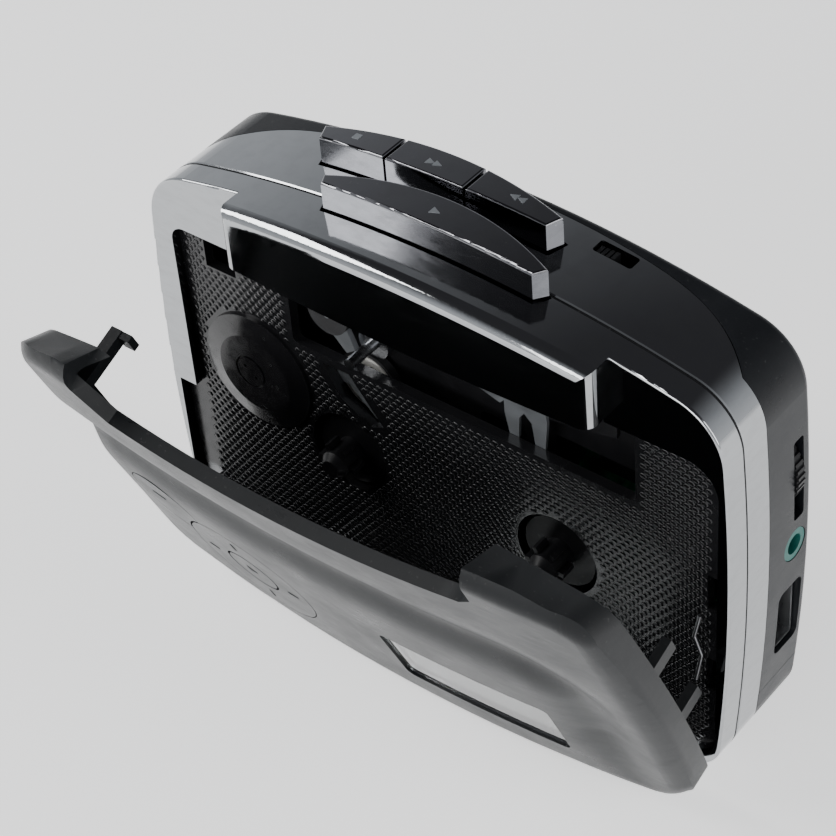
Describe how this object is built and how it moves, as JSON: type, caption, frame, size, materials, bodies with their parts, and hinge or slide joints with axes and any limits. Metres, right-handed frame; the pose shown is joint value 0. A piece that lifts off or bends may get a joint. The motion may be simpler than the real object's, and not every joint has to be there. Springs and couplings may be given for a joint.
{
  "type": "portable cassette player",
  "caption": "Pocket cassette player with a bottom-hinged door hanging open, chrome frame, top key row, tape transport, USB port, audio jack and volume wheel.",
  "frame": {"origin": "centre of the flat back face, on the face", "axes": "+X to the right as the door is faced, +Y out of the flat back, +Z towards the keys"},
  "size_m": [0.1144, 0.0616, 0.0922],
  "materials": {
    "smoked_chrome": "smoked chrome plating on moulded plastic",
    "key_chrome": "black chrome plating",
    "shell_black": "fine satin moulding",
    "door_grey": "soft satin coating",
    "deck_black": "glossy moulding with small raised pads",
    "spindle_black": "matt moulding",
    "film_black": "matt",
    "white_acetal": "waxy moulding",
    "black_rubber": "ground rubber",
    "zinc_plate": "zinc plated sheet",
    "black_steel": "black finished sheet",
    "screw_steel": "turned",
    "ground_steel": "ground",
    "spring_steel": "bright drawn wire",
    "connector_tin": "tin plated",
    "motor_can": "zinc plated can",
    "bearing_bronze": "sintered bronze",
    "flywheel_brass": "turned brass",
    "head_metal": "lapped alloy face",
    "clear_pane": "clear moulded plastic pane",
    "board_green": "solder mask",
    "jack_teal": "coloured moulding",
    "cell_wrap": "printed sleeve without any lettering"
  },
  "bodies": {
    "case": {"front_frame": "smoked_chrome", "middle_band": "smoked_chrome", "back_shell": "shell_black", "case_screws": "screw_steel", "deck": "deck_black", "motor_dome": "deck_black", "chassis_plate": "black_steel", "spindle_shafts": "screw_steel", "capstan_bearing": "bearing_bronze", "motor": "motor_can", "drive_belt": "black_rubber", "pinch_pivot": "screw_steel", "head_guide_posts": "screw_steel", "key_guide": "deck_black", "spring_stop": "spring_steel", "spring_forward": "spring_steel", "spring_rewind": "spring_steel", "spring_play": "spring_steel", "hinge_pins": "screw_steel", "door_spring": "spring_steel", "main_board": "board_green", "board_chips": "film_black", "usb_shell": "connector_tin", "usb_tongue": "deck_black", "audio_jack": "jack_teal", "volume_pot": "film_black", "switch_body": "film_black", "battery_cells": "cell_wrap", "battery_contacts": "spring_steel", "battery_spring": "spring_steel", "brake_pivot": "screw_steel"},
    "door": {"door_shell": "door_grey", "door_window": "clear_pane", "button_film": "film_black"},
    "ring_button": {"ring_button": "door_grey"},
    "centre_button": {"centre_button": "door_grey"},
    "small_button": {"small_button": "door_grey"},
    "battery_lid": {"battery_lid": "shell_black"},
    "takeup_spindle": {"takeup_spindle": "spindle_black"},
    "supply_spindle": {"supply_spindle": "spindle_black"},
    "idler": {"idler_wheel": "white_acetal", "idler_tyre": "black_rubber"},
    "flywheel": {"capstan_shaft": "ground_steel", "flywheel": "flywheel_brass"},
    "motor_pulley": {"motor_pulley": "flywheel_brass"},
    "pinch_arm": {"pinch_arm": "zinc_plate"},
    "pinch_roller": {"pinch_roller": "black_rubber"},
    "head_bridge": {"head_bridge": "black_steel", "bridge_fork": "zinc_plate", "tape_head": "head_metal"},
    "brake_lever": {"brake_lever": "zinc_plate"},
    "key_stop": {"key_stop": "key_chrome"},
    "key_forward": {"key_forward": "key_chrome"},
    "key_rewind": {"key_rewind": "key_chrome"},
    "key_play": {"key_play": "key_chrome"},
    "latch_bar": {"latch_bar": "zinc_plate"},
    "volume_wheel": {"volume_wheel": "spindle_black"},
    "switch_knob": {"switch_knob": "spindle_black"}
  },
  "joints": [
    {"name": "door_hinge", "type": "hinge", "parent": "case", "child": "door", "pos_m": [0, -0.026, -0.0396], "axis": [1, 0, 0], "range_deg": [-23.4, 12]},
    {"name": "ring_button_press", "type": "slide", "parent": "door", "child": "ring_button", "axis": [0, 0.9178, 0.3971], "range_m": [0, 0.0005], "stiffness_N_per_m": 900},
    {"name": "centre_button_press", "type": "slide", "parent": "door", "child": "centre_button", "axis": [0, 0.9178, 0.3971], "range_m": [0, 0.0005], "stiffness_N_per_m": 900},
    {"name": "small_button_press", "type": "slide", "parent": "door", "child": "small_button", "axis": [0, 0.9178, 0.3971], "range_m": [0, 0.0005], "stiffness_N_per_m": 900},
    {"name": "battery_lid_slide", "type": "slide", "parent": "case", "child": "battery_lid", "axis": [1, 0, 0], "range_m": [0, 0.03]},
    {"name": "key_stop_press", "type": "slide", "parent": "case", "child": "key_stop", "axis": [0, 0, -1], "range_m": [0, 0.003], "stiffness_N_per_m": 300, "deforming": ["spring_stop"]},
    {"name": "key_forward_press", "type": "slide", "parent": "case", "child": "key_forward", "axis": [0, 0, -1], "range_m": [0, 0.003], "stiffness_N_per_m": 300, "deforming": ["spring_forward"]},
    {"name": "key_rewind_press", "type": "slide", "parent": "case", "child": "key_rewind", "axis": [0, 0, -1], "range_m": [0, 0.003], "stiffness_N_per_m": 300, "deforming": ["spring_rewind"]},
    {"name": "key_play_press", "type": "slide", "parent": "case", "child": "key_play", "axis": [0, 0, -1], "range_m": [0, 0.003], "stiffness_N_per_m": 300, "deforming": ["spring_play"]},
    {"name": "latch_bar_slide", "type": "slide", "parent": "case", "child": "latch_bar", "axis": [1, 0, 0], "range_m": [0, 0.0012]},
    {"name": "head_bridge_slide", "type": "slide", "parent": "case", "child": "head_bridge", "axis": [0, 0, -1], "range_m": [0, 0.0027]},
    {"name": "pinch_arm_swing", "type": "hinge", "parent": "case", "child": "pinch_arm", "pos_m": [-0.027, -0.01875, 0.0248], "axis": [0, 1, 0], "range_deg": [0, 34]},
    {"name": "brake_lever_swing", "type": "hinge", "parent": "case", "child": "brake_lever", "pos_m": [-0.0244, -0.019, 0.0052], "axis": [0, 1, 0], "range_deg": [0, 4]},
    {"name": "pinch_roller_spin", "type": "hinge", "parent": "pinch_arm", "child": "pinch_roller", "pos_m": [-0.0143, -0.0255, 0.0273], "axis": [0, 1, 0], "continuous": true},
    {"name": "flywheel_spin", "type": "hinge", "parent": "case", "child": "flywheel", "pos_m": [-0.014, -0.017, 0.0145], "axis": [0, 1, 0], "continuous": true},
    {"name": "motor_pulley_spin", "type": "hinge", "parent": "case", "child": "motor_pulley", "pos_m": [-0.0373, -0.017, 0.0002], "axis": [0, 1, 0], "continuous": true},
    {"name": "idler_spin", "type": "hinge", "parent": "case", "child": "idler", "pos_m": [-0.01588, -0.017, 0.0052], "axis": [0, 1, 0], "continuous": true},
    {"name": "takeup_spin", "type": "hinge", "parent": "case", "child": "takeup_spindle", "pos_m": [-0.01875, -0.017, -0.009], "axis": [0, 1, 0], "continuous": true},
    {"name": "supply_spin", "type": "hinge", "parent": "case", "child": "supply_spindle", "pos_m": [0.02375, -0.017, -0.009], "axis": [0, 1, 0], "continuous": true},
    {"name": "volume_turn", "type": "hinge", "parent": "case", "child": "volume_wheel", "pos_m": [0.0494, -0.0038, 0.0112], "axis": [0, 1, 0], "range_deg": [-150, 150]},
    {"name": "format_switch_slide", "type": "slide", "parent": "case", "child": "switch_knob", "axis": [1, 0, 0], "range_m": [0, 0.003]}
  ],
  "couplings": [
    {"joint": "head_bridge_slide", "follows": "key_play_press", "ratio": 0.9},
    {"joint": "pinch_arm_swing", "follows": "key_play_press", "rad_per_m": 197.69},
    {"joint": "brake_lever_swing", "follows": "key_play_press", "rad_per_m": 23.155},
    {"joint": "latch_bar_slide", "follows": "key_stop_press", "ratio": 0.4},
    {"joint": "motor_pulley_spin", "follows": "flywheel_spin", "ratio": 3.5455},
    {"joint": "idler_spin", "follows": "flywheel_spin", "ratio": -0.4847},
    {"joint": "takeup_spin", "follows": "flywheel_spin", "ratio": 0.375}
  ]
}
